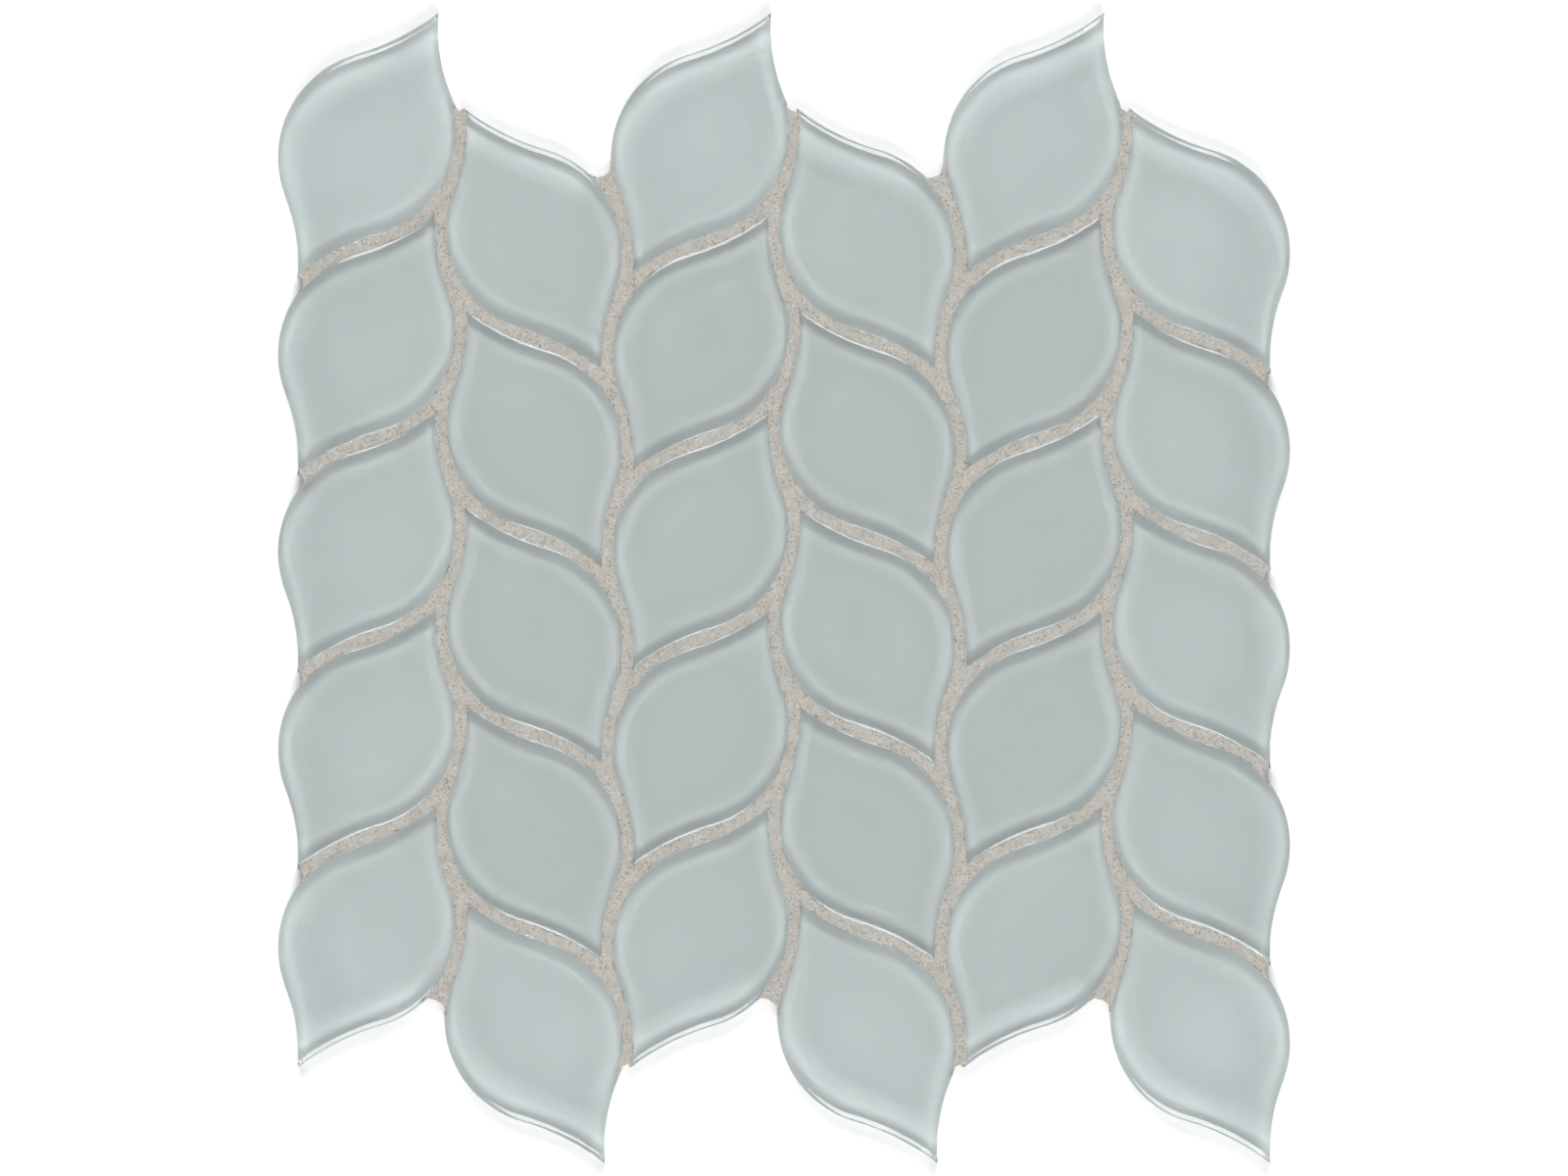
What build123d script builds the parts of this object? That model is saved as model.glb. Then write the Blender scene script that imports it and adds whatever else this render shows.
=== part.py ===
from build123d import *
import os
from math import acos, atan2, degrees, sqrt

# Glass mosaic sheet, face up: leaf-shaped glass tiles nest in columns with sanded grout in the
# joints, and a fibreglass mesh on the back holds them together. Millimetres. The origin is at the
# middle of the sheet, on the floor that its back lies on, with the columns along Y.

# Pattern: every second column holds mirrored leaves
COLUMNS = 6
ROWS = 5
JOINT = 1.5              # narrowest gap between neighbouring leaves, at their straight walls
MIRRORED_LIFT = 0.8      # mirrored columns sit this far above the half-row position

# Leaf outline: two tips on its long axis, a belly on each side, the same turned half a turn
LEAF_LENGTH = 76.6       # tip to tip
LEAF_WIDTH = 44.0        # across the bellies
LEAF_TILT = 62.0         # long axis above the X axis, degrees
BELLY_RADIUS = 27.3
BELLY_SHIFT = -0.75      # belly's centre along the leaf, from its middle
LEAD_CURVE = 63.0        # radius of the hollow curve from the belly to the leading tip
TRAIL_CURVE = 45.5       # and from the belly to the trailing tip

# Leaf section
LEAF_THICKNESS = 8.0
EDGE_RADIUS = 1.8        # fire-polished rounding of the face's rim

# Grout
GROUT_RECESS = 0.33      # below the leaves' faces
WEB_RADIUS = 4.0         # hollow end of a joint at the sheet's open edge
WEB_SETBACK = 0.2        # behind the line where grout would wet the rims of the open edge

# Mesh: flat threads in two crossing layers
MESH_PITCH = 8.0
THREAD_WIDTH = 0.9
THREAD_HEIGHT = 0.2
MESH_MARGIN = 2.5        # inside the sheet's outline
SHORTEST_THREAD = 10.0   # shorter offcuts at the tips are trimmed away

SLIDE_STEPS = 12         # steps that close a leaf up to its neighbour

leaf_base = 2 * THREAD_HEIGHT
leaf_top = leaf_base + LEAF_THICKNESS
grout_top = leaf_top - GROUT_RECESS
rim_lap = EDGE_RADIUS - sqrt(EDGE_RADIUS**2 - max(EDGE_RADIUS - GROUT_RECESS, 0)**2)


def belly_limit(tip, belly_centre, curve_radius):
    """Angle at the belly's centre, from the line to a tip, where the belly runs into the tip's curve."""
    to_tip = (tip - belly_centre).length
    reach = BELLY_RADIUS + curve_radius
    return degrees(acos((to_tip**2 + reach**2 - curve_radius**2) / (2 * to_tip * reach)))


def direction(vector):
    """Angle of a vector in the sheet's plane, degrees."""
    return degrees(atan2(vector.Y, vector.X))


def leaf_face():
    """Outline of a leaf at the origin, leaning to the right."""
    lead_tip = Vector(LEAF_LENGTH / 2, 0)
    trail_tip = Vector(-LEAF_LENGTH / 2, 0)
    belly_centre = Vector(BELLY_SHIFT, LEAF_WIDTH / 2 - BELLY_RADIUS)
    start = direction(lead_tip - belly_centre) + belly_limit(lead_tip, belly_centre, LEAD_CURVE)
    end = direction(trail_tip - belly_centre) - belly_limit(trail_tip, belly_centre, TRAIL_CURVE)
    belly = CenterArc(belly_centre, BELLY_RADIUS, start, end - start)
    lead = TangentArc(belly @ 0, lead_tip, tangent=(belly % 0) * -1)
    trail = TangentArc(belly @ 1, trail_tip, tangent=belly % 1)
    side = [lead, belly, trail]
    other_side = [edge.rotate(Axis.Z, 180) for edge in side]
    return Rot(0, 0, LEAF_TILT) * make_face(side + other_side)


def slide_to_joint(face, way, neighbours):
    """How far a face stands along a way when the joint is all that is left to its neighbours."""
    shift = LEAF_LENGTH
    for _ in range(SLIDE_STEPS):
        moved = Pos(way * shift) * face
        gap = min(moved.distance_to(neighbour) for neighbour in neighbours)
        shift += JOINT - gap
    return shift


leaf = leaf_face()
mirrored_leaf = mirror(leaf, about=Plane.YZ)

# A leaf stands clear of the one below it, and a mirrored column of the two leaves that it nests between
row_pitch = slide_to_joint(leaf, Vector(0, 1), [leaf])
mirrored_drop = row_pitch / 2 - MIRRORED_LIFT
nested_leaf = Pos(0, -mirrored_drop) * mirrored_leaf
column_pitch = slide_to_joint(nested_leaf, Vector(1, 0), [leaf, Pos(0, -row_pitch) * leaf])
top_row_y = ((ROWS - 1) * row_pitch + mirrored_drop) / 2


def leaf_places():
    """Name, mirrored or not, and place of each leaf, by column from the left and row from the top."""
    for column in range(COLUMNS):
        mirrored = column % 2 == 1
        x = (column - (COLUMNS - 1) / 2) * column_pitch
        for row in range(ROWS):
            y = top_row_y - row * row_pitch - (mirrored_drop if mirrored else 0)
            yield f"leaf_c{column + 1}_r{row + 1}", mirrored, Pos(x, y)


def leaf_solid(face):
    """Glass leaf: straight walls and a rounded rim round its flat face."""
    blank = extrude(Pos(0, 0, leaf_base) * face, LEAF_THICKNESS)
    return fillet(blank.edges().group_by(Axis.Z)[-1], EDGE_RADIUS)


def sheet_face(faces, inset):
    """The leaves' joint outline, with the joints closed over, drawn in by an inset."""
    swollen = Sketch() + [offset(face, WEB_RADIUS, kind=Kind.ARC) for face in faces]
    return offset(swollen, -WEB_RADIUS - inset, kind=Kind.ARC)


def grout_solid(faces, leaves):
    """Grout: fills every joint up to its level, and laps the rounded rims."""
    bed = sheet_face(faces, rim_lap + WEB_SETBACK)
    return extrude(Pos(0, 0, leaf_base) * bed, grout_top - leaf_base) - leaves


def thread_layer(outline, along_y, level):
    """One layer of parallel mesh threads, cut to an outline."""
    box = outline.bounding_box()
    length, spread = (box.size.Y, box.size.X) if along_y else (box.size.X, box.size.Y)
    side_count = int(spread / 2 // MESH_PITCH)
    threads = []
    for index in range(-side_count, side_count + 1):
        if along_y:
            strip = Pos(index * MESH_PITCH, 0) * Rectangle(THREAD_WIDTH, length)
        else:
            strip = Pos(0, index * MESH_PITCH) * Rectangle(length, THREAD_WIDTH)
        for piece in (outline & strip).faces():
            if piece.area >= SHORTEST_THREAD * THREAD_WIDTH:
                threads.append(extrude(Pos(0, 0, level) * piece, THREAD_HEIGHT))
    return Compound(children=threads)


def build_sheet():
    """Every piece of the sheet, by name."""
    straight = leaf_solid(leaf)
    turned = leaf_solid(mirrored_leaf)
    pieces = {}
    faces = []
    for name, mirrored, place in leaf_places():
        pieces[name] = place * (turned if mirrored else straight)
        faces.append(place * (mirrored_leaf if mirrored else leaf))
    leaves = list(pieces.values())
    mesh_outline = sheet_face(faces, MESH_MARGIN)
    pieces["grout"] = grout_solid(faces, leaves)
    pieces["mesh_weft"] = thread_layer(mesh_outline, False, 0)
    pieces["mesh_warp"] = thread_layer(mesh_outline, True, THREAD_HEIGHT)
    return pieces


def main():
    os.makedirs("parts", exist_ok=True)
    print(f"row pitch {row_pitch:.3f}, column pitch {column_pitch:.3f}, drop {mirrored_drop:.3f}")
    for name, piece in build_sheet().items():
        export_step(piece, f"parts/{name}.step")


main()
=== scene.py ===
from math import acos, atan2, pi, radians, sqrt

import bmesh
import bpy
import numpy as np
from bpy.props import FloatProperty, FloatVectorProperty, IntProperty, PointerProperty
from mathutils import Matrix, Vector, noise
from mathutils.bvhtree import BVHTree
from mathutils.geometry import delaunay_2d_cdt
from mathutils.kdtree import KDTree


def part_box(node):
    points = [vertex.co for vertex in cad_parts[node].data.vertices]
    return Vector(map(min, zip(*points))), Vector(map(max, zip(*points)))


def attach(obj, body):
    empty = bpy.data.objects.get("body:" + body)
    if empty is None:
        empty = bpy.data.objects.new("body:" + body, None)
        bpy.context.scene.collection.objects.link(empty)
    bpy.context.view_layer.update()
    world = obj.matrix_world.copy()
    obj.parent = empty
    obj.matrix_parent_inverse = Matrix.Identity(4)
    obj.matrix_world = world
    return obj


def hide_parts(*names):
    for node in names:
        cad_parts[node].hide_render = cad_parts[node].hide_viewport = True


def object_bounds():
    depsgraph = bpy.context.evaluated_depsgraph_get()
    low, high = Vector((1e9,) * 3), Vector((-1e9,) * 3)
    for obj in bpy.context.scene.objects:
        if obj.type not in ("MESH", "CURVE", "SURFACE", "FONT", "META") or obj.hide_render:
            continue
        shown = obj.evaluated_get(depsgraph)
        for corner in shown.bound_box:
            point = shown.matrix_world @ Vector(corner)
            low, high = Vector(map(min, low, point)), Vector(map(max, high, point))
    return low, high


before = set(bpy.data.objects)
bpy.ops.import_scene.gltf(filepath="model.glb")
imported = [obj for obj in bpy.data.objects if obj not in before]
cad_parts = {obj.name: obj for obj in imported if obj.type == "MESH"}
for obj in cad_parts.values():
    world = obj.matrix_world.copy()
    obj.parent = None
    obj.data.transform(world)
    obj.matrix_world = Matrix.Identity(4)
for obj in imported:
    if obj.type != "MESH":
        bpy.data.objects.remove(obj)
cad_low, cad_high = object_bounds()

bl_info = {
    "name": "Leaf Mosaic Sheet",
    "version": (1, 0, 0),
    "blender": (4, 5, 0),
    "location": "3D View > Sidebar > Mosaic",
    "description": "Dresses a packed glass mosaic sheet: glass leaves, sanded grout and backing mesh",
    "category": "Object",
}

BODY = "root"
MM = 0.001
FACE_INSET = 1.1         # inset of the flat face's ring, in rim reaches
LEAF_CREASE = radians(35.0)
GROUT_CREASE = radians(50.0)
ON_LEVEL = 0.01 * MM     # how near counts as on a level or a face
EDGE_SLACK = 0.15 * MM   # how far the grout's triangles may stand past the CAD's face
SAME_POINT = 0.001 * MM
LEAF_NODES = sorted(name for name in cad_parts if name.startswith("leaf_"))
LEAF_MIDDLES = {node: np.array(sum(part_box(node), Vector())[:2]) / 2 for node in LEAF_NODES}
leaf_low, leaf_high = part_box(LEAF_NODES[0])
grout_low, grout_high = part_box("grout")


def size(name, description, millimetres):
    """A length that a user may change, with its default in millimetres."""
    return FloatProperty(name=name, description=description, default=millimetres * MM, unit="LENGTH",
                         precision=5)


def colour(name, description, default):
    """A linear colour that a user may change."""
    return FloatVectorProperty(name=name, description=description, default=default, subtype="COLOR",
                               size=3, min=0.0, max=1.0)


class LeafSettings(bpy.types.PropertyGroup):
    """Outline, section and colours of the glass leaves."""
    length: size("Length", "Tip to tip", 76.6)
    width: size("Width", "Across the two bellies", 44.0)
    tilt: FloatProperty(name="Tilt", description="Long axis above the sheet's X axis", default=radians(62.0),
                        subtype="ANGLE")
    belly_radius: size("Belly radius", "Radius of the round belly", 27.3)
    belly_shift: size("Belly shift", "Belly's centre along the leaf, from its middle", -0.75)
    lead_curve: size("Lead curve", "Radius of the hollow curve to the leading tip", 63.0)
    trail_curve: size("Trail curve", "Radius of the hollow curve to the trailing tip", 45.5)
    rim_reach: size("Rim reach", "How far the rounded rim reaches in over the face", 3.0)
    rim_drop: size("Rim drop", "How far the rounded rim falls from the face to the wall", 0.53)
    arris: size("Arris", "Small bevel round the back", 0.2)
    tip_passes: IntProperty(name="Tip passes", description="Rounding passes over the tips of the outline",
                            default=1, min=0)
    tip_ease: size("Tip ease", "Inset that adds one more rounding pass to the tips", 0.5)
    curve_steps: IntProperty(name="Curve steps", description="Points along each hollow curve", default=30,
                             min=4)
    belly_steps: IntProperty(name="Belly steps", description="Points along each belly", default=34, min=4)
    rim_steps: IntProperty(name="Rim steps", description="Points over the rounded rim", default=14, min=3)
    film: size("Film", "Thickness of the paint on the back", 0.05)
    bond: size("Bond", "How far the paint reaches into the glass, so that no air is between them", 0.02)
    paint: colour("Paint", "Pale green-grey paint on the back", (0.714, 0.758, 0.76))
    glass: colour("Glass", "Faint green of the glass", (0.97, 1.0, 0.99))


class GroutSettings(bpy.types.PropertyGroup):
    """Shape and colours of the sanded grout."""
    spacing: size("Point spacing", "Spacing of the points on the sanded face", 0.39)
    sand: size("Sand", "How far grains stand out of the face", 0.07)
    dish: size("Dish", "How far the middle of a joint is tooled below its edges", 0.2)
    lap: size("Lap", "How far the grout laps the leaves' rims", 0.68)
    ragged: size("Ragged edge", "How unevenly the grout meets the rims, to either side", 0.16)
    clearance: size("Clearance", "Thin gap to the glass", 0.015)
    seed: IntProperty(name="Seed", description="Seed of the scatter", default=4)
    grain: size("Grain size", "Size of the sand grains", 0.35)
    body: colour("Grout", "Beige-grey cement", (0.465, 0.455, 0.415))
    dark_grain: colour("Dark grain", "Brown sand grains", (0.31, 0.285, 0.25))
    light_grain: colour("Light grain", "Pale sand grains", (0.555, 0.54, 0.50))
    warm_grain: colour("Warm grain", "Pinkish sand grains", (0.49, 0.43, 0.38))


class MeshSettings(bpy.types.PropertyGroup):
    """Weave and colour of the backing mesh."""
    step: size("Step", "Length of yarn between its cross-sections", 2.0)
    sides: IntProperty(name="Sides", description="Corners of a yarn's cross-section", default=6, min=3)
    fill: FloatProperty(name="Fill", description="Share of the room that a yarn takes up", default=0.9)
    yarn: colour("Yarn", "Off-white coated glass yarn", (0.80, 0.80, 0.77))


class StageSettings(bpy.types.PropertyGroup):
    """Camera, floor and lights."""
    view_width: size("View width", "Width of what the camera sees on the sheet's face", 400.0)
    camera_height: size("Camera height", "Camera above the sheet's face", 2600.0)
    floor_size: size("Floor size", "Side of the square floor", 8000.0)
    floor_lift: FloatProperty(name="Floor lift", default=0.22,
                              description="How far the floor is lifted towards white where it is seen")
    panel_offset: size("Panel offset", "Each overhead light from the middle, along Y", 1160.0)
    panel_height: size("Panel height", "Overhead lights above the floor", 2000.0)
    panel_length: size("Panel length", "Length of an overhead light, along X", 1000.0)
    panel_width: size("Panel width", "Width of an overhead light, along Y", 1000.0)
    panel_power: FloatProperty(name="Panel power", description="Power of each overhead light", default=36.5,
                               unit="POWER")
    sky: FloatProperty(name="Sky", description="Strength of the even light from all round", default=0.06)


def direction(vector):
    """Angle of a plane vector, in radians."""
    return atan2(vector[1], vector[0])


def arc(centre, radius, start, end, steps, power=1.0):
    """Points along an arc, the last one left out; a power over 1 sets them closer at the start."""
    share = (np.arange(steps) / steps) ** power
    angles = start + (end - start) * share
    return centre + radius * np.stack((np.cos(angles), np.sin(angles)), axis=1)


def soften(points, corner, passes):
    """Rounds a corner of a closed ring of points."""
    near = np.arange(corner - passes, corner + passes + 1) % len(points)
    for _ in range(passes):
        before, after = points[(near - 1) % len(points)], points[(near + 1) % len(points)]
        points[near] = (before + 2 * points[near] + after) / 4


class LeafOutline:
    """Arcs of a leaf about its middle; ring() gives its outline drawn in by an inset."""

    TIP_CROWDING = 1.5

    def __init__(self, leaf, fineness=1):
        self.leaf = leaf
        self.curve_steps = leaf.curve_steps * fineness
        self.belly_steps = leaf.belly_steps * fineness
        self.tip_passes = leaf.tip_passes
        self.belly = np.array((leaf.belly_shift, leaf.width / 2 - leaf.belly_radius))
        tip = np.array((leaf.length / 2, 0.0))
        self.start = direction(tip - self.belly) + self.belly_limit(tip, leaf.lead_curve)
        self.end = direction(-tip - self.belly) - self.belly_limit(-tip, leaf.trail_curve)
        self.lead = self.curve_centre(self.start, leaf.lead_curve)
        self.trail = self.curve_centre(self.end, leaf.trail_curve)

    def belly_limit(self, tip, curve):
        """Angle at the belly's centre, from the line to a tip, where the belly runs into the tip's curve."""
        to_tip = np.linalg.norm(tip - self.belly)
        reach = self.leaf.belly_radius + curve
        return acos((to_tip**2 + reach**2 - curve**2) / (2 * to_tip * reach))

    def curve_centre(self, angle, curve):
        """Centre of a hollow curve that touches the belly at an angle."""
        return self.belly + (self.leaf.belly_radius + curve) * np.array((np.cos(angle), np.sin(angle)))

    def tip(self, inset):
        """Leading tip of the drawn-in outline, where its two hollow curves cross."""
        lead_radius = self.leaf.lead_curve + inset
        trail_radius = self.leaf.trail_curve + inset
        across = -self.trail - self.lead
        distance = np.linalg.norm(across)
        across /= distance
        along = (lead_radius**2 - trail_radius**2 + distance**2) / (2 * distance)
        aside = sqrt(lead_radius**2 - along**2)
        return self.lead + along * across + aside * np.array((across[1], -across[0]))

    def half(self, inset):
        """One side of the outline, from the leading tip to just before the trailing one."""
        leaf = self.leaf
        tip = self.tip(inset)
        turn = 2 * pi
        lead = arc(self.lead, leaf.lead_curve + inset, direction(tip - self.lead) % turn,
                   (self.start + pi) % turn, self.curve_steps, self.TIP_CROWDING)
        belly = arc(self.belly, leaf.belly_radius - inset, self.start, self.end, self.belly_steps)
        trail = arc(self.trail, leaf.trail_curve + inset, direction(-tip - self.trail) % turn,
                    (self.end + pi) % turn, self.curve_steps, self.TIP_CROWDING)
        joint = self.belly + (leaf.belly_radius - inset) * np.array((np.cos(self.end), np.sin(self.end)))
        return np.concatenate((lead, belly, joint[None], trail[:0:-1]))

    def ring(self, inset):
        """Closed outline drawn in by an inset, its tips rounded, turned to the leaf's tilt."""
        half = self.half(inset)
        points = np.concatenate((half, -half))
        for tip in (0, len(half)):
            soften(points, tip, self.tip_passes + round(inset / self.leaf.tip_ease))
        cosine, sine = np.cos(self.leaf.tilt), np.sin(self.leaf.tilt)
        return points @ np.array(((cosine, sine), (-sine, cosine)))


def leaf_sections(leaf, base, top):
    """Inset and height of each ring of a leaf, from its back up over the rim to the face."""
    wall_top = top - leaf.rim_drop
    sections = [(leaf.arris, base), (0.0, base + leaf.arris), (0.0, wall_top)]
    for step in range(1, leaf.rim_steps + 1):
        angle = pi / 2 * step / leaf.rim_steps
        sections.append((leaf.rim_reach * (1 - np.cos(angle)), wall_top + leaf.rim_drop * np.sin(angle)))
    sections.append((FACE_INSET * leaf.rim_reach, top))
    return sections


def is_mirrored(node):
    """Every second column holds mirrored leaves."""
    column = int(node.split("_c")[1].split("_")[0])
    return column % 2 == 0


def placed(points, node):
    """Points of a leaf's ring where its node stands in the sheet, anticlockwise."""
    if is_mirrored(node):
        points = (points * (-1, 1))[::-1]
    return points + LEAF_MIDDLES[node]


def leaf_rings(outline, sections, node):
    """Rings of a leaf in the sheet, one for each inset and height."""
    return [np.insert(placed(outline.ring(inset), node), 2, height, axis=1) for inset, height in sections]


def rim_height(leaf, inset):
    """Height of a leaf's rim at an inset."""
    return leaf_high.z + leaf.rim_drop * (np.sqrt(1 - (1 - inset / leaf.rim_reach) ** 2) - 1)


def lofted(rings):
    """Vertices and faces over rings of equally many points: first cap, sides, last cap."""
    count = len(rings[0])
    index = np.arange(count)
    ahead = np.roll(index, -1)
    faces = [index[::-1].tolist()]
    for level in range(len(rings) - 1):
        low, high = level * count, (level + 1) * count
        faces += np.column_stack((low + index, low + ahead, high + ahead, high + index)).tolist()
    faces.append((index + (len(rings) - 1) * count).tolist())
    return np.concatenate(rings), faces


def joined(name, shells):
    """One mesh of several shells, each given as vertices and faces."""
    vertices, faces, total = [], [], 0
    for points, sides in shells:
        vertices.append(points)
        faces += [[total + i for i in side] for side in sides]
        total += len(points)
    mesh = bpy.data.meshes.new(name)
    mesh.from_pydata(np.concatenate(vertices).tolist(), [], faces)
    return mesh


def add_piece(name, mesh, nodes, materials):
    """Links a piece, lets it ride on the sheet and stand for its nodes."""
    piece = bpy.data.objects.new(name, mesh)
    bpy.context.scene.collection.objects.link(piece)
    for material in materials:
        mesh.materials.append(material)
    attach(piece, BODY)
    if nodes:
        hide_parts(*nodes)
    return piece


def add_node(tree, kind, inputs=None, **attributes):
    """A new node with its attributes set, and its inputs set or linked."""
    node = tree.nodes.new(kind)
    for name, value in attributes.items():
        setattr(node, name, value)
    for name, value in (inputs or {}).items():
        if isinstance(value, bpy.types.NodeSocket):
            tree.links.new(value, node.inputs[name])
        else:
            node.inputs[name].default_value = value
    return node


def new_group(name, inputs, outputs):
    """An empty shader group with number sockets, the sockets inside it to read, and those to feed."""
    group = bpy.data.node_groups.new(name, "ShaderNodeTree")
    for side, sockets in (("INPUT", inputs), ("OUTPUT", outputs)):
        for socket in sockets:
            group.interface.new_socket(socket, in_out=side, socket_type="NodeSocketFloat")
    return group, group.nodes.new("NodeGroupInput").outputs, group.nodes.new("NodeGroupOutput").inputs


def build_mottle_group():
    """Slow variation about 1, with patches of a given size."""
    group, given, result = new_group("Mottle", ("Size", "Contrast"), ("Factor",))
    place = add_node(group, "ShaderNodeTexCoord")
    scale = add_node(group, "ShaderNodeMath", {0: 1.0, 1: given["Size"]}, operation="DIVIDE")
    cloud = add_node(group, "ShaderNodeTexNoise", {"Vector": place.outputs["Object"], "Detail": 3.0,
                                                   "Scale": scale.outputs[0]})
    low = add_node(group, "ShaderNodeMath", {0: 1.0, 1: given["Contrast"]}, operation="SUBTRACT")
    high = add_node(group, "ShaderNodeMath", {0: 1.0, 1: given["Contrast"]}, operation="ADD")
    spread = add_node(group, "ShaderNodeMapRange", {"Value": cloud.outputs["Fac"], "From Min": 0.3,
                                                    "From Max": 0.7, "To Min": low.outputs[0],
                                                    "To Max": high.outputs[0]})
    group.links.new(spread.outputs["Result"], result["Factor"])
    return group


def add_cells(group, size_socket):
    """Cells of a given size in a group: their scale, the cells, and a random tone for each."""
    place = add_node(group, "ShaderNodeTexCoord")
    scale = add_node(group, "ShaderNodeMath", {0: 1.0, 1: size_socket}, operation="DIVIDE")
    cells = add_node(group, "ShaderNodeTexVoronoi", {"Vector": place.outputs["Object"],
                                                     "Scale": scale.outputs[0]})
    tone = add_node(group, "ShaderNodeSeparateColor", {"Color": cells.outputs["Color"]})
    return scale, cells, tone


def build_grain_group():
    """Packed grains of a given size: a tone for each, and their rounded height."""
    group, given, result = new_group("Grain", ("Size",), ("Tone", "Height"))
    _, cells, tone = add_cells(group, given["Size"])
    height = add_node(group, "ShaderNodeMath", {0: 1.0, 1: cells.outputs["Distance"]}, operation="SUBTRACT")
    group.links.new(tone.outputs["Red"], result["Tone"])
    group.links.new(height.outputs[0], result["Height"])
    return group


def build_spots_group():
    """Scattered round spots: 1 inside, 0 outside, about one to each cell that the share picks."""
    group, given, result = new_group("Spots", ("Size", "Radius", "Share"), ("Mask",))
    scale, cells, tone = add_cells(group, given["Size"])
    picked = add_node(group, "ShaderNodeMath", {0: tone.outputs["Green"], 1: given["Share"]},
                      operation="LESS_THAN")
    reach = add_node(group, "ShaderNodeMath", {0: given["Radius"], 1: scale.outputs[0]},
                     operation="MULTIPLY")
    near = add_node(group, "ShaderNodeMapRange", {"Value": cells.outputs["Distance"], "To Min": 0.0,
                                                  "To Max": 1.0, "From Min": reach.outputs[0],
                                                  "From Max": 0.0}, interpolation_type="SMOOTHSTEP")
    mask = add_node(group, "ShaderNodeMath", {0: near.outputs["Result"], 1: picked.outputs[0]},
                    operation="MULTIPLY")
    group.links.new(mask.outputs[0], result["Mask"])
    return group


GROUP_BUILDERS = {"Mottle": build_mottle_group, "Grain": build_grain_group, "Spots": build_spots_group}


def use_group(tree, name, **inputs):
    """A shared group placed in a material's nodes; it is built the first time."""
    group = bpy.data.node_groups.get(name) or GROUP_BUILDERS[name]()
    return add_node(tree, "ShaderNodeGroup", inputs, node_tree=group).outputs


def new_material(name, **inputs):
    """A material with only a Principled shader: the material, its nodes and that shader."""
    material = bpy.data.materials.new(name)
    material.use_nodes = True
    tree = material.node_tree
    shader = tree.nodes["Principled BSDF"]
    for socket, value in inputs.items():
        shader.inputs[socket.replace("_", " ")].default_value = value
    return material, tree, shader


def scaled(tree, colour, factor):
    """A colour multiplied by a factor."""
    mixed = add_node(tree, "ShaderNodeMix", data_type="RGBA", blend_type="MULTIPLY")
    mixed.inputs["Factor"].default_value = 1.0
    for socket, value in zip((mixed.inputs[6], mixed.inputs[7]), (colour, factor)):
        if isinstance(value, bpy.types.NodeSocket):
            tree.links.new(value, socket)
        else:
            socket.default_value = value
    return mixed.outputs[2]


def glass_material(leaf):
    """Clear polished glass with a faint green tint."""
    return new_material("leaf glass", Base_Color=(*leaf.glass, 1.0), Roughness=0.0, IOR=1.5,
                        Transmission_Weight=1.0)[0]


def paint_material(leaf):
    """Paint on the backs of the leaves, seen through the glass, with faint clouds and specks."""
    material, tree, shader = new_material("back paint", Roughness=0.9, Specular_IOR_Level=0.0)
    mottle = use_group(tree, "Mottle", Size=0.03, Contrast=0.015)["Factor"]
    specks = use_group(tree, "Spots", Size=0.009, Radius=0.0005, Share=0.2)["Mask"]
    dimmed = add_node(tree, "ShaderNodeMath", {0: specks, 1: -0.1, 2: mottle}, operation="MULTIPLY_ADD")
    tree.links.new(scaled(tree, (*leaf.paint, 1.0), dimmed.outputs[0]), shader.inputs["Base Color"])
    return material


def grout_material(grout):
    """Sanded cement: packed grains of a few tones and slow clouds, with painted shade in small dark spots at
    pits.
    """
    material, tree, shader = new_material("sanded grout", Roughness=0.95, Specular_IOR_Level=0.2)
    grain = use_group(tree, "Grain", Size=grout.grain)
    ramp = add_node(tree, "ShaderNodeValToRGB", {"Fac": grain["Tone"]})
    tones = ramp.color_ramp
    tones.interpolation = "CONSTANT"
    tones.elements[0].color = (*grout.dark_grain, 1.0)
    tones.elements[1].position = 0.09
    tones.elements[1].color = (*grout.body, 1.0)
    tones.elements.new(0.70).color = (*grout.light_grain, 1.0)
    tones.elements.new(0.92).color = (*grout.warm_grain, 1.0)
    mottle = use_group(tree, "Mottle", Size=0.004, Contrast=0.07)["Factor"]
    # painted shade: the pit spots darken the grout's colour in place of the shade that falls inside pits
    pits = use_group(tree, "Spots", Size=0.0024, Radius=0.0004, Share=0.09)["Mask"]
    dimmed = add_node(tree, "ShaderNodeMath", {0: pits, 1: -0.45, 2: mottle}, operation="MULTIPLY_ADD")
    tree.links.new(scaled(tree, ramp.outputs["Color"], dimmed.outputs[0]), shader.inputs["Base Color"])
    bump = add_node(tree, "ShaderNodeBump", {"Height": grain["Height"], "Strength": 0.5, "Distance": 0.0002})
    tree.links.new(bump.outputs["Normal"], shader.inputs["Normal"])
    return material


def yarn_material(settings):
    """Coated glass yarn."""
    material, tree, shader = new_material("glass yarn", Roughness=0.7)
    mottle = use_group(tree, "Mottle", Size=0.002, Contrast=0.06)["Factor"]
    tree.links.new(scaled(tree, (*settings.yarn, 1.0), mottle), shader.inputs["Base Color"])
    return material


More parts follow.
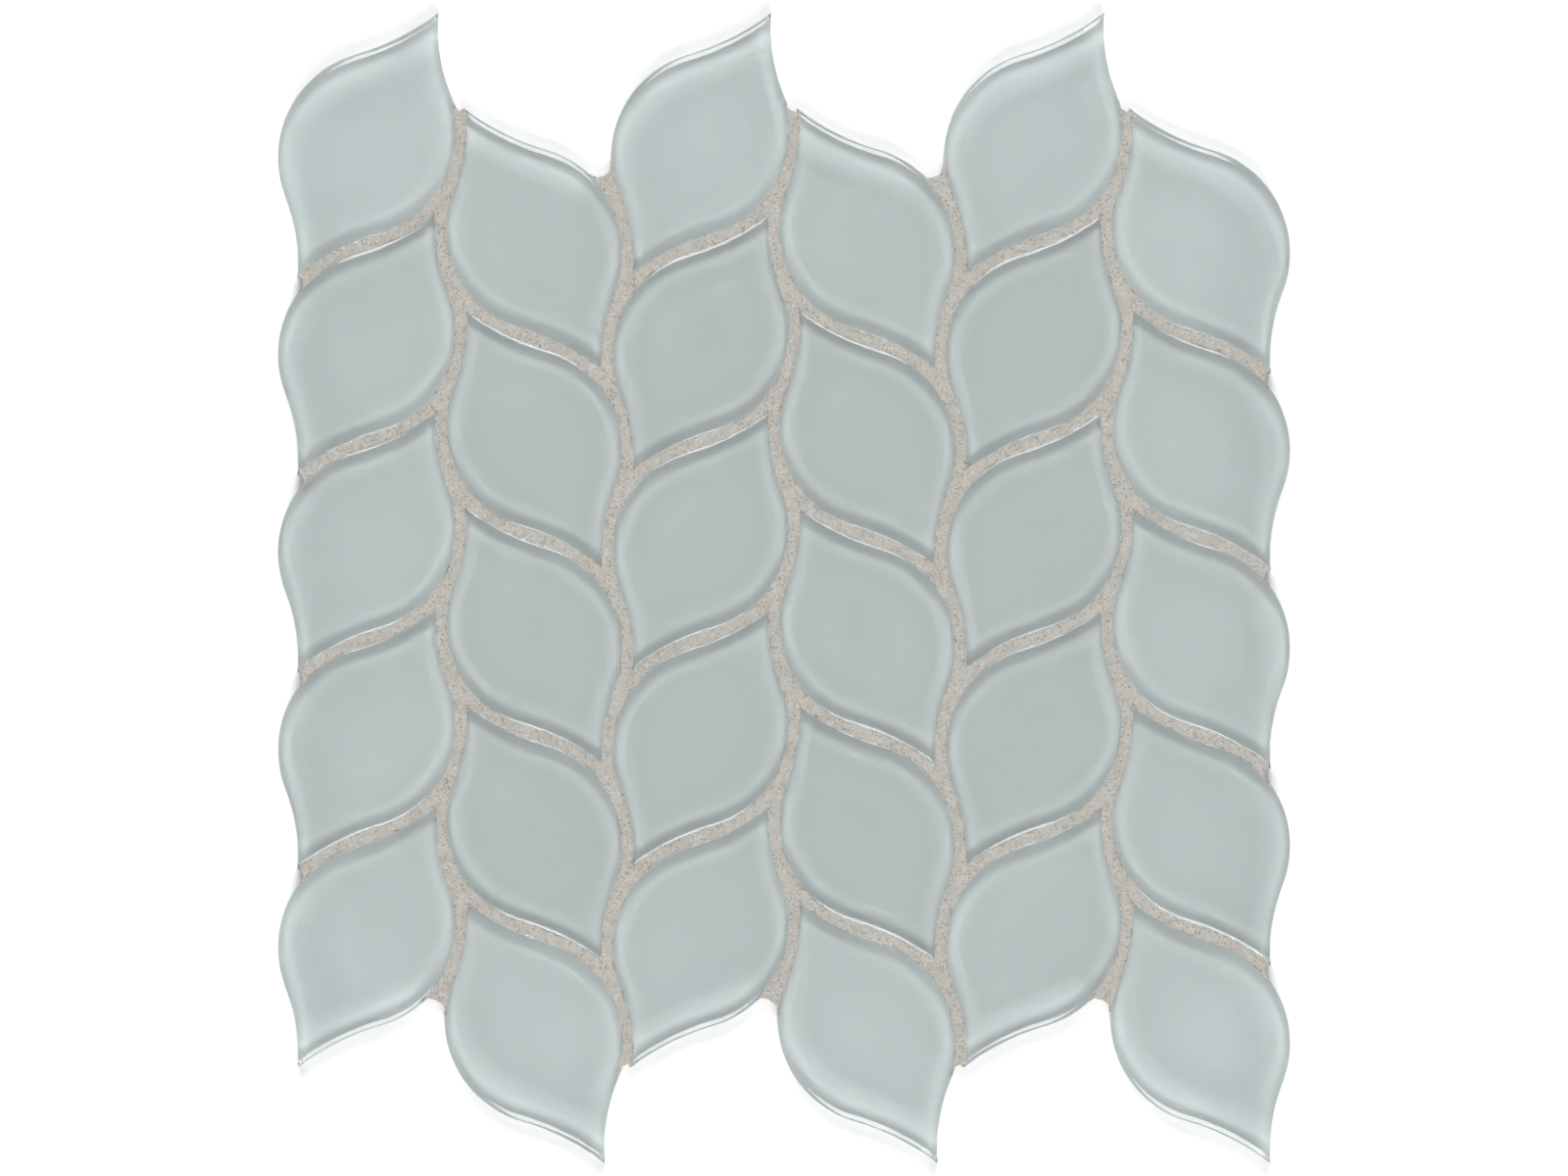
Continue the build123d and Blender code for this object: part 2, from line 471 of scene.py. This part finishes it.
class MOSAIC_OT_add_leaves(bpy.types.Operator):
    """Adds the clear glass leaves, each with a rounded rim"""
    bl_idname = "mosaic.add_leaves"
    bl_label = "Glass leaves"

    def execute(self, context):
        leaf = context.scene.mosaic_leaf
        outline = LeafOutline(leaf)
        sections = leaf_sections(leaf, leaf_low.z + leaf.film - leaf.bond, leaf_high.z)
        material = glass_material(leaf)
        for node in LEAF_NODES:
            vertices, faces = lofted(leaf_rings(outline, sections, node))
            mesh = bpy.data.meshes.new(f"glass_{node}")
            mesh.from_pydata(vertices.tolist(), [], faces)
            mesh.shade_smooth()
            mesh.set_sharp_from_angle(angle=LEAF_CREASE)
            add_piece(f"glass_{node}", mesh, [node], [material])
        return {"FINISHED"}


class MOSAIC_OT_add_paint(bpy.types.Operator):
    """Adds the paint on the backs of the leaves"""
    bl_idname = "mosaic.add_paint"
    bl_label = "Back paint"

    def execute(self, context):
        leaf = context.scene.mosaic_leaf
        outline = LeafOutline(leaf)
        inset = leaf.arris + leaf.film
        sections = [(inset, leaf_low.z), (inset, leaf_low.z + leaf.film)]
        mesh = joined("back_paint", [lofted(leaf_rings(outline, sections, node)) for node in LEAF_NODES])
        add_piece("back_paint", mesh, [], [paint_material(leaf)])
        return {"FINISHED"}


def wander(points, grain):
    """Smooth noise between -1 and 1 at plane points, with features of about a grain's size."""
    return np.array([noise.noise(Vector((x, y, 0.0)) / grain) for x, y in points])


def inside(points, polygon):
    """Whether each point lies inside a polygon."""
    hit = np.zeros(len(points), bool)
    near = np.all((points > polygon.min(0)) & (points < polygon.max(0)), axis=1)
    x, y = points[near].T
    found = np.zeros(len(x), bool)
    for (ax, ay), (bx, by) in zip(polygon, np.roll(polygon, -1, axis=0)):
        if ay != by:
            found ^= ((ay > y) != (by > y)) & (x < (bx - ax) * (y - ay) / (by - ay) + ax)
    hit[near] = found
    return hit


class FlatFace:
    """The CAD grout's face at one height."""

    def __init__(self, height):
        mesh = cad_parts["grout"].data
        mesh.calc_loop_triangles()
        level = [abs(vertex.co.z - height) < ON_LEVEL for vertex in mesh.vertices]
        triangles = [tri.vertices[:] for tri in mesh.loop_triangles if all(level[i] for i in tri.vertices)]
        self.height = height
        self.tree = BVHTree.FromPolygons([vertex.co for vertex in mesh.vertices], triangles)

    def distance(self, points):
        """Distance of plane points from the face."""
        return np.array([self.tree.find_nearest((x, y, self.height))[3] for x, y in points])


def triangulate(points, edges, holes, face, reach):
    """Triangles over plane points that keep edges, stay out of holes and stay within reach of a face."""
    corners = [Vector(point) / MM for point in points]
    found = delaunay_2d_cdt(corners, edges, [], 0, 1e-6)
    source = [indices[0] if indices else -1 for indices in found[3]]
    triangles = np.array([[source[i] for i in triangle] for triangle in found[2]])
    triangles = triangles[np.all(triangles >= 0, axis=1)]
    middles = points[triangles].mean(axis=1)
    keep = np.ones(len(triangles), bool)
    for hole in holes:
        keep &= ~inside(middles, hole)
    triangles, middles = triangles[keep], middles[keep]
    return triangles[face.distance(middles) <= reach]


def open_edges(triangles):
    """Edges that only one triangle has, in its own direction."""
    edges = np.concatenate((triangles[:, (0, 1)], triangles[:, (1, 2)], triangles[:, (2, 0)]))
    _, first, count = np.unique(np.sort(edges, axis=1), axis=0, return_index=True, return_counts=True)
    return edges[first[count == 1]]


class GroutBuilder:
    """Builds the grout: a sanded face between the leaves, walls down along their rims, and a flat back."""

    FINENESS = 2             # points along the rims for each of a leaf's own
    LAP_INSET = 0.25 * MM    # row of points part way down the rim
    SLOW_SWING = 1.2         # how much each size of waver counts in the ragged edge
    QUICK_SWING = 0.8
    SLOW_WAVER = 2.0 * MM
    QUICK_WAVER = 0.7 * MM
    ROW_SHARE = 0.866        # row spacing of an even scatter, in point spacings
    JITTER = 0.3             # and how far its points stray
    CLEAR_SHARE = 0.7        # least distance from the edge points
    DISH_REACH = 0.8 * MM    # how far from the rims the tooled hollow falls
    GRAIN_SPREAD = 0.6       # heights of grains, slow waves and pits, in sand heights
    WAVE_HEIGHT = 0.6
    WAVE_LENGTH = 2.5 * MM
    PIT_DEPTH = 2.5
    PIT_SHARE = 0.012
    HIGHEST_GRAIN = 0.05 * MM

    def __init__(self, leaf, grout):
        self.leaf = leaf
        self.grout = grout
        self.outline = LeafOutline(leaf, self.FINENESS)
        self.rng = np.random.default_rng(grout.seed)
        self.top = FlatFace(grout_high.z)
        self.bottom = FlatFace(grout_low.z)

    def rings(self, inset):
        """A ring of every leaf, at one inset."""
        ring = self.outline.ring(inset)
        return np.stack([placed(ring, node) for node in LEAF_NODES])

    def contact(self):
        """Points where the face meets the rims, ragged along them, and their heights."""
        lap, ragged = self.grout.lap, self.grout.ragged
        outer = self.rings(lap - ragged).reshape(-1, 2)
        inner = self.rings(lap + ragged).reshape(-1, 2)
        middle = (outer + inner) / 2
        swing = self.SLOW_SWING * wander(middle, self.SLOW_WAVER)
        swing += self.QUICK_SWING * wander(middle, self.QUICK_WAVER)
        share = np.clip(0.5 + 0.5 * swing, 0.0, 1.0)
        points = outer + (inner - outer) * share[:, None]
        return points, rim_height(self.leaf, lap + ragged * (2 * share - 1))

    def scatter(self, contact):
        """Jittered points over the CAD's face, clear of the contact points, and how far from them."""
        spacing = self.grout.spacing
        xs = np.arange(cad_low.x, cad_high.x, spacing)
        ys = np.arange(cad_low.y, cad_high.y, spacing * self.ROW_SHARE)
        grid = np.stack(np.meshgrid(xs, ys), axis=-1)
        grid[1::2, :, 0] += spacing / 2
        stray = self.rng.uniform(-self.JITTER, self.JITTER, (grid.size // 2, 2))
        grid = grid.reshape(-1, 2) + stray * spacing
        for hole in self.rings(self.grout.lap + self.grout.ragged):
            grid = grid[~inside(grid, hole)]
        grid = grid[self.top.distance(grid) < ON_LEVEL]
        tree = KDTree(len(contact))
        for index, (x, y) in enumerate(contact):
            tree.insert((x, y, 0.0), index)
        tree.balance()
        away = np.array([tree.find((x, y, 0.0))[2] for x, y in grid])
        clear = away > self.CLEAR_SHARE * spacing
        return grid[clear], away[clear]

    def face_heights(self, points, away):
        """Heights of the sanded face: tooled hollow, with grains and pits."""
        sand = self.grout.sand
        dished = -self.grout.dish * (1 - np.exp(-away / self.DISH_REACH))
        grains = sand * self.rng.normal(0.0, self.GRAIN_SPREAD, len(points))
        slow = self.WAVE_HEIGHT * sand * wander(points, self.WAVE_LENGTH)
        pits = -self.PIT_DEPTH * sand * (self.rng.random(len(points)) < self.PIT_SHARE)
        relief = np.minimum(dished + grains + slow + pits, self.HIGHEST_GRAIN)
        return rim_height(self.leaf, self.grout.lap) + relief

    def face_triangles(self, points, loops):
        """Triangles of the sanded face, which end at the contact loops."""
        per_leaf = len(loops) // len(LEAF_NODES)
        index = np.arange(len(loops))
        ahead = index - index % per_leaf + (index + 1) % per_leaf
        edges = np.column_stack((index, ahead)).tolist()
        holes = loops.reshape(len(LEAF_NODES), per_leaf, 2)
        return triangulate(points, edges, holes, self.top, EDGE_SLACK)

    def build(self):
        """Vertices and faces of the grout."""
        loops, loop_heights = self.contact()
        grid, away = self.scatter(loops)
        points = np.concatenate((loops, grid))
        heights = np.concatenate((loop_heights + self.grout.clearance, self.face_heights(grid, away)))
        face = self.face_triangles(points, loops)
        corners, rim = np.unique(open_edges(face), return_inverse=True)
        rim = rim.reshape(-1, 2)
        vertices = [np.column_stack((points, heights))]
        faces = face.tolist()
        upper = corners
        total = len(points)
        for level in self.wall_levels(points, corners, len(loops)):
            lower = total + np.arange(len(corners))
            a, b = rim.T
            faces += np.column_stack((upper[a], lower[a], lower[b], upper[b])).tolist()
            vertices.append(level)
            upper = lower
            total += len(corners)
        holes = self.rings(-self.grout.clearance)
        back = triangulate(level[:, :2], rim.tolist(), holes, self.bottom, EDGE_SLACK)
        faces += (lower[back][:, ::-1]).tolist()
        return np.concatenate(vertices), faces

    def wall_levels(self, points, corners, loop_count):
        """Rings of points below the face's open edges, down the rims and the straight walls."""
        gap = self.grout.clearance
        wall_top = leaf_high.z - self.leaf.rim_drop
        levels = [(self.LAP_INSET, rim_height(self.leaf, self.LAP_INSET)),
                  (-gap, wall_top), (-gap, grout_low.z)]
        on_leaf = corners < loop_count
        for inset, height in levels:
            ring = points[corners].copy()
            ring[on_leaf] = self.rings(inset).reshape(-1, 2)[corners[on_leaf]]
            yield np.column_stack((ring, np.full(len(ring), height)))


class MOSAIC_OT_add_grout(bpy.types.Operator):
    """Adds the sanded grout between the leaves"""
    bl_idname = "mosaic.add_grout"
    bl_label = "Sanded grout"

    def execute(self, context):
        vertices, faces = GroutBuilder(context.scene.mosaic_leaf, context.scene.mosaic_grout).build()
        mesh = bpy.data.meshes.new("sanded_grout")
        mesh.from_pydata(vertices.tolist(), [], faces)
        mesh.shade_smooth()
        mesh.set_sharp_from_angle(angle=GROUT_CREASE)
        add_piece("sanded_grout", mesh, ["grout"], [grout_material(context.scene.mosaic_grout)])
        return {"FINISHED"}


def strip_boxes(node):
    """Lowest and highest corner of each separate strip of a CAD node, in order."""
    shape = bmesh.new()
    shape.from_mesh(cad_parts[node].data)
    bmesh.ops.remove_doubles(shape, verts=shape.verts, dist=SAME_POINT)
    waiting = set(shape.verts)
    boxes = []
    while waiting:
        group = [waiting.pop()]
        for vertex in group:
            for edge in vertex.link_edges:
                other = edge.other_vert(vertex)
                if other in waiting:
                    waiting.remove(other)
                    group.append(other)
        corners = np.array([vertex.co for vertex in group])
        boxes.append((corners.min(0), corners.max(0)))
    shape.free()
    return sorted(boxes, key=lambda box: tuple(box[0]))


class YarnLayer:
    """Yarns of one direction, which go over and under the other layer's by turns."""

    def __init__(self, node, along, over):
        self.boxes = strip_boxes(node)
        self.along = along
        self.across = 1 - along
        self.over = over
        lines = np.array(sorted((low + high)[self.across] / 2 for low, high in self.boxes))
        steps = np.diff(lines)
        self.pitch = steps[steps > MM].min()

    def yarn(self, settings, low, high):
        """Rings of one yarn."""
        length = high[self.along] - low[self.along]
        count = max(2, round(length / settings.step))
        way = np.linspace(low[self.along], high[self.along], count + 1)
        line = (low + high)[self.across] / 2
        half_width = settings.fill * (high - low)[self.across] / 2
        half_height = settings.fill * (high - low)[2] / 2
        mesh_middle = (leaf_low.z + cad_low.z) / 2
        wave = np.cos(pi * (way + line) / self.pitch)
        levels = mesh_middle + self.over * (high - low)[2] / 2 * wave
        angles = 2 * pi * np.arange(settings.sides) / settings.sides
        rings = []
        for place, level in zip(way, levels):
            ring = np.empty((settings.sides, 3))
            ring[:, self.along] = place
            ring[:, self.across] = line + half_width * np.cos(angles)
            ring[:, 2] = level + half_height * np.sin(angles)
            rings.append(ring if self.along else ring[::-1])
        return rings

    def mesh(self, name, settings):
        """All yarns in one mesh."""
        mesh = joined(name, [lofted(self.yarn(settings, low, high)) for low, high in self.boxes])
        mesh.shade_smooth()
        return mesh


class MOSAIC_OT_add_mesh(bpy.types.Operator):
    """Adds the woven yarns on the back"""
    bl_idname = "mosaic.add_mesh"
    bl_label = "Backing mesh"

    def execute(self, context):
        settings = context.scene.mosaic_mesh
        materials = [yarn_material(settings)]
        for node, along, over in (("mesh_weft", 0, -1), ("mesh_warp", 1, 1)):
            mesh = YarnLayer(node, along, over).mesh(f"{node}_yarns", settings)
            add_piece(f"{node}_yarns", mesh, [node], materials)
        return {"FINISHED"}


def seen(tree):
    """1 where the camera sees a surface, straight or by mirror or glass; 0 where it lights dull ones."""
    path = add_node(tree, "ShaderNodeLightPath").outputs
    mirrored = add_node(tree, "ShaderNodeMath", {0: path["Is Camera Ray"], 1: path["Is Glossy Ray"]},
                        operation="MAXIMUM")
    through = add_node(tree, "ShaderNodeMath", {0: mirrored.outputs[0], 1: path["Is Transmission Ray"]},
                       operation="MAXIMUM")
    clear = add_node(tree, "ShaderNodeMath", {0: path["Diffuse Depth"], 1: 0.5}, operation="LESS_THAN")
    both = add_node(tree, "ShaderNodeMath", {0: through.outputs[0], 1: clear.outputs[0]},
                    operation="MULTIPLY")
    return both.outputs[0]


def add_floor(stage):
    """White floor under the sheet, which keeps its shadow."""
    half = stage.floor_size / 2
    mesh = bpy.data.meshes.new("floor")
    corners = [(x, y, cad_low.z) for x, y in ((-half, -half), (half, -half), (half, half), (-half, half))]
    mesh.from_pydata(corners, [], [(0, 1, 2, 3)])
    floor = bpy.data.objects.new("floor", mesh)
    bpy.context.scene.collection.objects.link(floor)
    material, tree, shader = new_material("white floor", Base_Color=(0.9, 0.9, 0.9, 1.0), Roughness=0.9,
                                          Specular_IOR_Level=0.1, Emission_Color=(1.0, 1.0, 1.0, 1.0))
    lift = add_node(tree, "ShaderNodeMath", {0: seen(tree), 1: stage.floor_lift}, operation="MULTIPLY")
    tree.links.new(lift.outputs[0], shader.inputs["Emission Strength"])
    mesh.materials.append(material)


def add_panel_light(stage, side):
    """Broad soft light overhead, on one side of the camera."""
    light = bpy.data.lights.new("panel light", "AREA")
    light.shape = "RECTANGLE"
    light.size = stage.panel_length
    light.size_y = stage.panel_width
    light.energy = stage.panel_power
    lamp = bpy.data.objects.new("panel light", light)
    lamp.location = (0.0, side * stage.panel_offset, stage.panel_height)
    bpy.context.scene.collection.objects.link(lamp)


def light_sky(stage):
    """Faint even light from all round, white where it is seen."""
    world = bpy.data.worlds.new("studio")
    world.use_nodes = True
    tree = world.node_tree
    background = tree.nodes["Background"].inputs
    background["Color"].default_value = (1.0, 1.0, 1.0, 1.0)
    strength = add_node(tree, "ShaderNodeMapRange", {"Value": seen(tree), "To Min": stage.sky,
                                                     "To Max": 1.0})
    tree.links.new(strength.outputs["Result"], background["Strength"])
    bpy.context.scene.world = world


def add_camera(stage):
    """Camera straight above the sheet, with +Y up in the picture."""
    camera = bpy.data.cameras.new("camera")
    camera.sensor_fit = "HORIZONTAL"
    camera.angle = 2 * atan2(stage.view_width / 2, stage.camera_height)
    holder = bpy.data.objects.new("camera", camera)
    holder.location = (0.0, 0.0, cad_high.z + stage.camera_height)
    bpy.context.scene.collection.objects.link(holder)
    bpy.context.scene.camera = holder


class MOSAIC_OT_set_stage(bpy.types.Operator):
    """Sets the floor, the lights and the camera"""
    bl_idname = "mosaic.set_stage"
    bl_label = "Stage"

    def execute(self, context):
        stage = context.scene.mosaic_stage
        context.scene.view_settings.view_transform = "Standard"
        context.scene.cycles.blur_glossy = 0.0
        context.scene.cycles.use_guiding = True
        add_floor(stage)
        light_sky(stage)
        for side in (-1, 1):
            add_panel_light(stage, side)
        add_camera(stage)
        return {"FINISHED"}


class MOSAIC_PT_sheet(bpy.types.Panel):
    """Lists the steps that dress the sheet"""
    bl_label = "Leaf mosaic sheet"
    bl_idname = "MOSAIC_PT_sheet"
    bl_space_type = "VIEW_3D"
    bl_region_type = "UI"
    bl_category = "Mosaic"

    def draw(self, context):
        for operator in OPERATORS:
            self.layout.operator(operator.bl_idname)


OPERATORS = (MOSAIC_OT_add_leaves, MOSAIC_OT_add_paint, MOSAIC_OT_add_grout, MOSAIC_OT_add_mesh,
             MOSAIC_OT_set_stage)
SETTINGS = {"mosaic_leaf": LeafSettings, "mosaic_grout": GroutSettings, "mosaic_mesh": MeshSettings,
            "mosaic_stage": StageSettings}
CLASSES = (*SETTINGS.values(), *OPERATORS, MOSAIC_PT_sheet)


def register():
    for cls in CLASSES:
        bpy.utils.register_class(cls)
    for name, group in SETTINGS.items():
        setattr(bpy.types.Scene, name, PointerProperty(type=group))


def unregister():
    for name in SETTINGS:
        delattr(bpy.types.Scene, name)
    for cls in reversed(CLASSES):
        bpy.utils.unregister_class(cls)


def main():
    register()
    bpy.ops.mosaic.add_leaves()
    bpy.ops.mosaic.add_paint()
    bpy.ops.mosaic.add_grout()
    bpy.ops.mosaic.add_mesh()
    bpy.ops.mosaic.set_stage()


if __name__ == "__main__":
    main()
